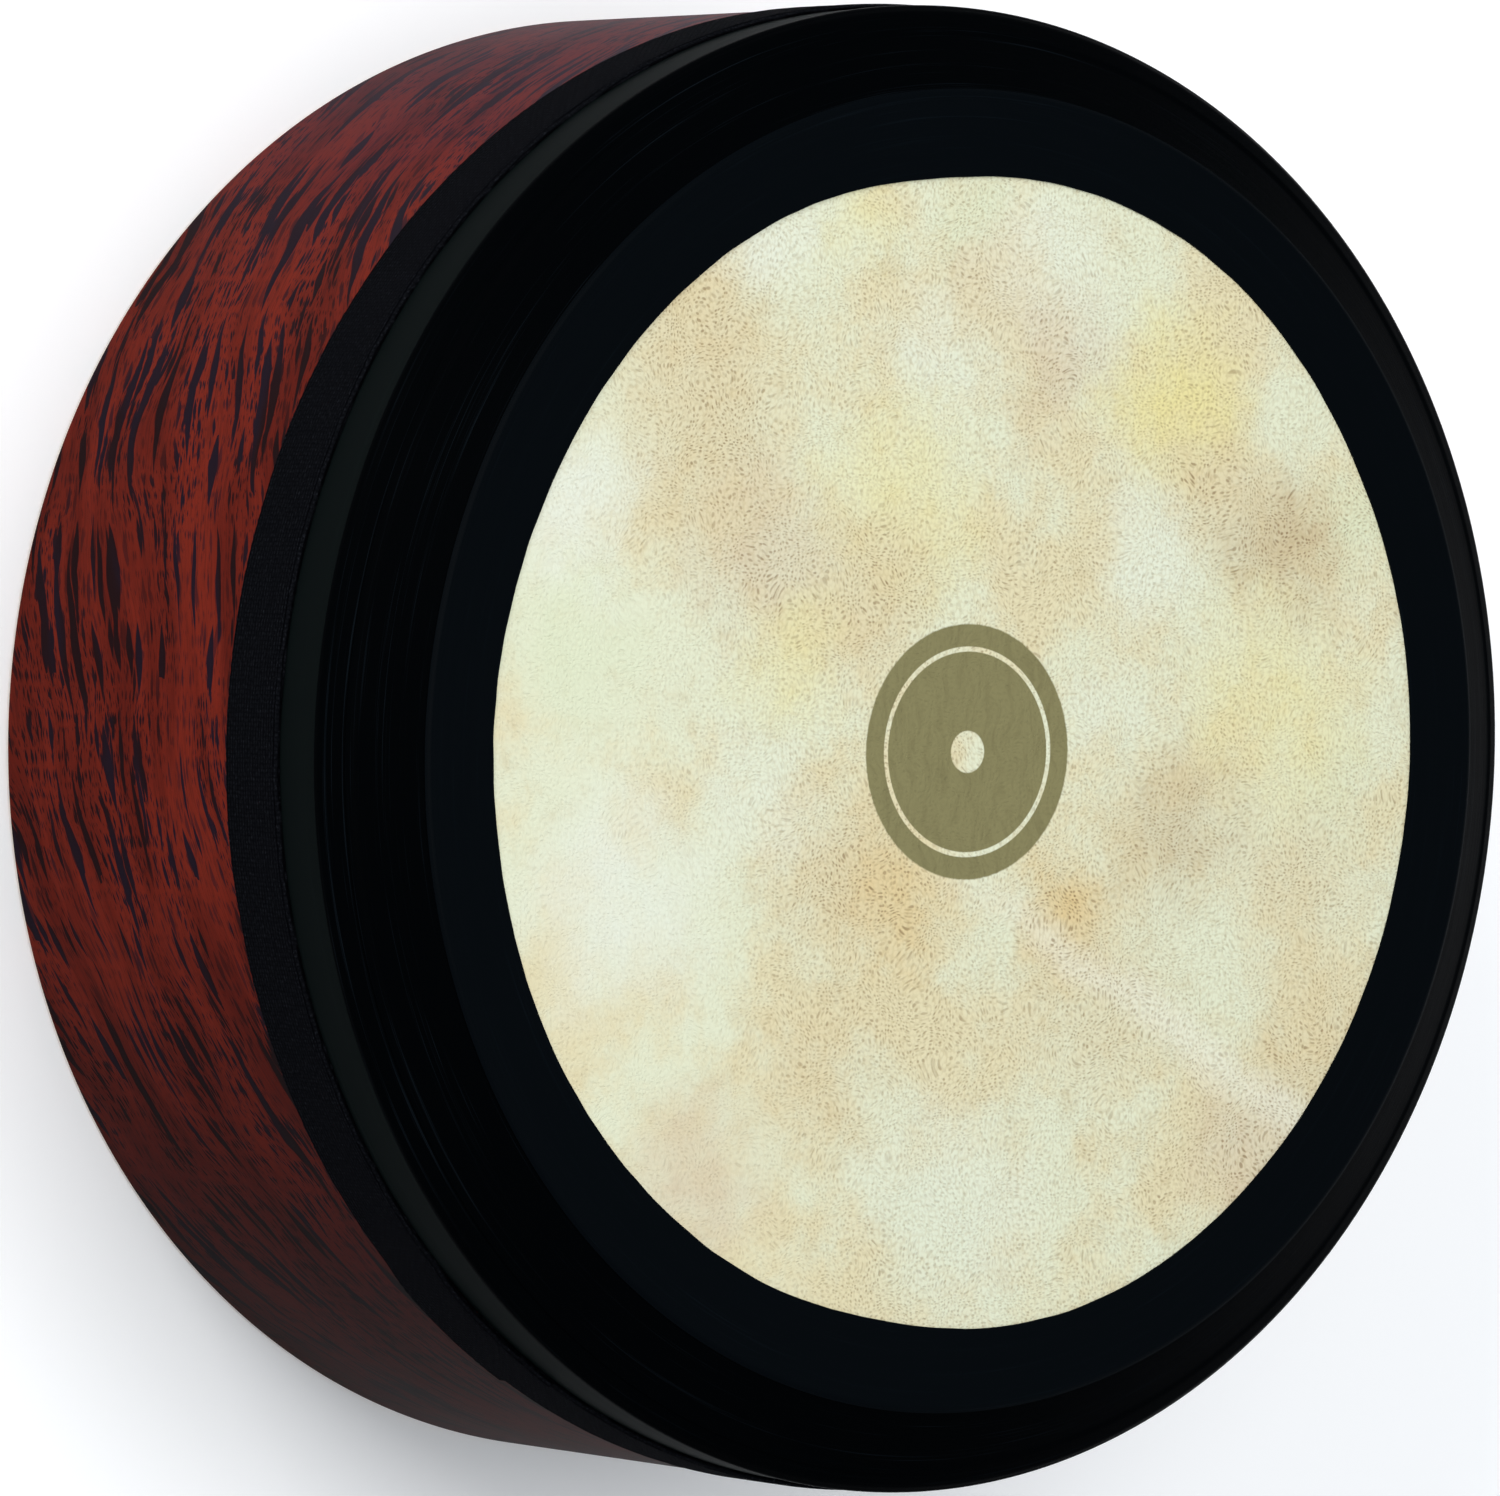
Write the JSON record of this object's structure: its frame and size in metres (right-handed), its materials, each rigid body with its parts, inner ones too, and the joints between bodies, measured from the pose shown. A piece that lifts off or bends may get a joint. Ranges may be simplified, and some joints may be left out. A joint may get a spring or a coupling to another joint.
{
  "type": "tunable frame drum",
  "caption": "Deep wooden frame drum with a taped goatskin head, stretched over an inner tone ring that bolts push up from the open back.",
  "frame": {"origin": "centre of the open rear rim, on the surface that the drum lies on", "axes": "+Z along the drum's axis, out of the head"},
  "size_m": [0.3574, 0.3574, 0.1462],
  "materials": {
    "red_ply": "red-brown streaked veneer under satin lacquer",
    "bare_ply": "bare sanded birch ply",
    "goatskin": "cream goatskin, mottled, matt",
    "black_vinyl": "satin black vinyl tape",
    "black_cloth": "matt woven black cloth tape",
    "zinc_steel": "bright zinc-plated steel",
    "black_steel": "black-oxide steel",
    "brass": "plain turned brass"
  },
  "bodies": {
    "drum": {"shell": "red_ply", "goatskin_head": "goatskin", "cloth_band": "black_cloth", "side_tape": "black_vinyl", "lower_shoulder_tape": "black_vinyl", "upper_shoulder_tape": "black_vinyl", "face_tape": "black_vinyl", "tuner_bracket_1": "zinc_steel", "thread_bush_1": "brass", "bracket_screw_1a": "zinc_steel", "bracket_screw_1b": "zinc_steel", "tuner_bracket_2": "zinc_steel", "thread_bush_2": "brass", "bracket_screw_2a": "zinc_steel", "bracket_screw_2b": "zinc_steel", "tuner_bracket_3": "zinc_steel", "thread_bush_3": "brass", "bracket_screw_3a": "zinc_steel", "bracket_screw_3b": "zinc_steel", "tuner_bracket_4": "zinc_steel", "thread_bush_4": "brass", "bracket_screw_4a": "zinc_steel", "bracket_screw_4b": "zinc_steel", "tuner_bracket_5": "zinc_steel", "thread_bush_5": "brass", "bracket_screw_5a": "zinc_steel", "bracket_screw_5b": "zinc_steel", "tuner_bracket_6": "zinc_steel", "thread_bush_6": "brass", "bracket_screw_6a": "zinc_steel", "bracket_screw_6b": "zinc_steel"},
    "ring": {"tone_ring": "bare_ply", "pressure_plate_1": "zinc_steel", "plate_screw_1a": "brass", "plate_screw_1b": "brass", "pressure_plate_2": "zinc_steel", "plate_screw_2a": "brass", "plate_screw_2b": "brass", "pressure_plate_3": "zinc_steel", "plate_screw_3a": "brass", "plate_screw_3b": "brass", "pressure_plate_4": "zinc_steel", "plate_screw_4a": "brass", "plate_screw_4b": "brass", "pressure_plate_5": "zinc_steel", "plate_screw_5a": "brass", "plate_screw_5b": "brass", "pressure_plate_6": "zinc_steel", "plate_screw_6a": "brass", "plate_screw_6b": "brass"},
    "bolt_1": {"tuning_bolt_1": "black_steel"},
    "bolt_2": {"tuning_bolt_2": "black_steel"},
    "bolt_3": {"tuning_bolt_3": "black_steel"},
    "bolt_4": {"tuning_bolt_4": "black_steel"},
    "bolt_5": {"tuning_bolt_5": "black_steel"},
    "bolt_6": {"tuning_bolt_6": "black_steel"}
  },
  "joints": [
    {"name": "ring_lift", "type": "slide", "parent": "drum", "child": "ring", "axis": [0, 0, 1], "range_m": [-0.008, 0]},
    {"name": "bolt_1_turn", "type": "hinge", "parent": "ring", "child": "bolt_1", "pos_m": [0.13726, 0.07925, 0.098], "axis": [0, 0, 1], "range_deg": [-2880, 0]},
    {"name": "bolt_2_turn", "type": "hinge", "parent": "ring", "child": "bolt_2", "pos_m": [0, 0.1585, 0.098], "axis": [0, 0, 1], "range_deg": [-2880, 0]},
    {"name": "bolt_3_turn", "type": "hinge", "parent": "ring", "child": "bolt_3", "pos_m": [-0.13726, 0.07925, 0.098], "axis": [0, 0, 1], "range_deg": [-2880, 0]},
    {"name": "bolt_4_turn", "type": "hinge", "parent": "ring", "child": "bolt_4", "pos_m": [-0.13726, -0.07925, 0.098], "axis": [0, 0, 1], "range_deg": [-2880, 0]},
    {"name": "bolt_5_turn", "type": "hinge", "parent": "ring", "child": "bolt_5", "pos_m": [0, -0.1585, 0.098], "axis": [0, 0, 1], "range_deg": [-2880, 0]},
    {"name": "bolt_6_turn", "type": "hinge", "parent": "ring", "child": "bolt_6", "pos_m": [0.13726, -0.07925, 0.098], "axis": [0, 0, 1], "range_deg": [-2880, 0]}
  ],
  "couplings": [
    {"joint": "bolt_1_turn", "follows": "ring_lift", "rad_per_m": 6283.2},
    {"joint": "bolt_2_turn", "follows": "ring_lift", "rad_per_m": 6283.2},
    {"joint": "bolt_3_turn", "follows": "ring_lift", "rad_per_m": 6283.2},
    {"joint": "bolt_4_turn", "follows": "ring_lift", "rad_per_m": 6283.2},
    {"joint": "bolt_5_turn", "follows": "ring_lift", "rad_per_m": 6283.2},
    {"joint": "bolt_6_turn", "follows": "ring_lift", "rad_per_m": 6283.2}
  ]
}
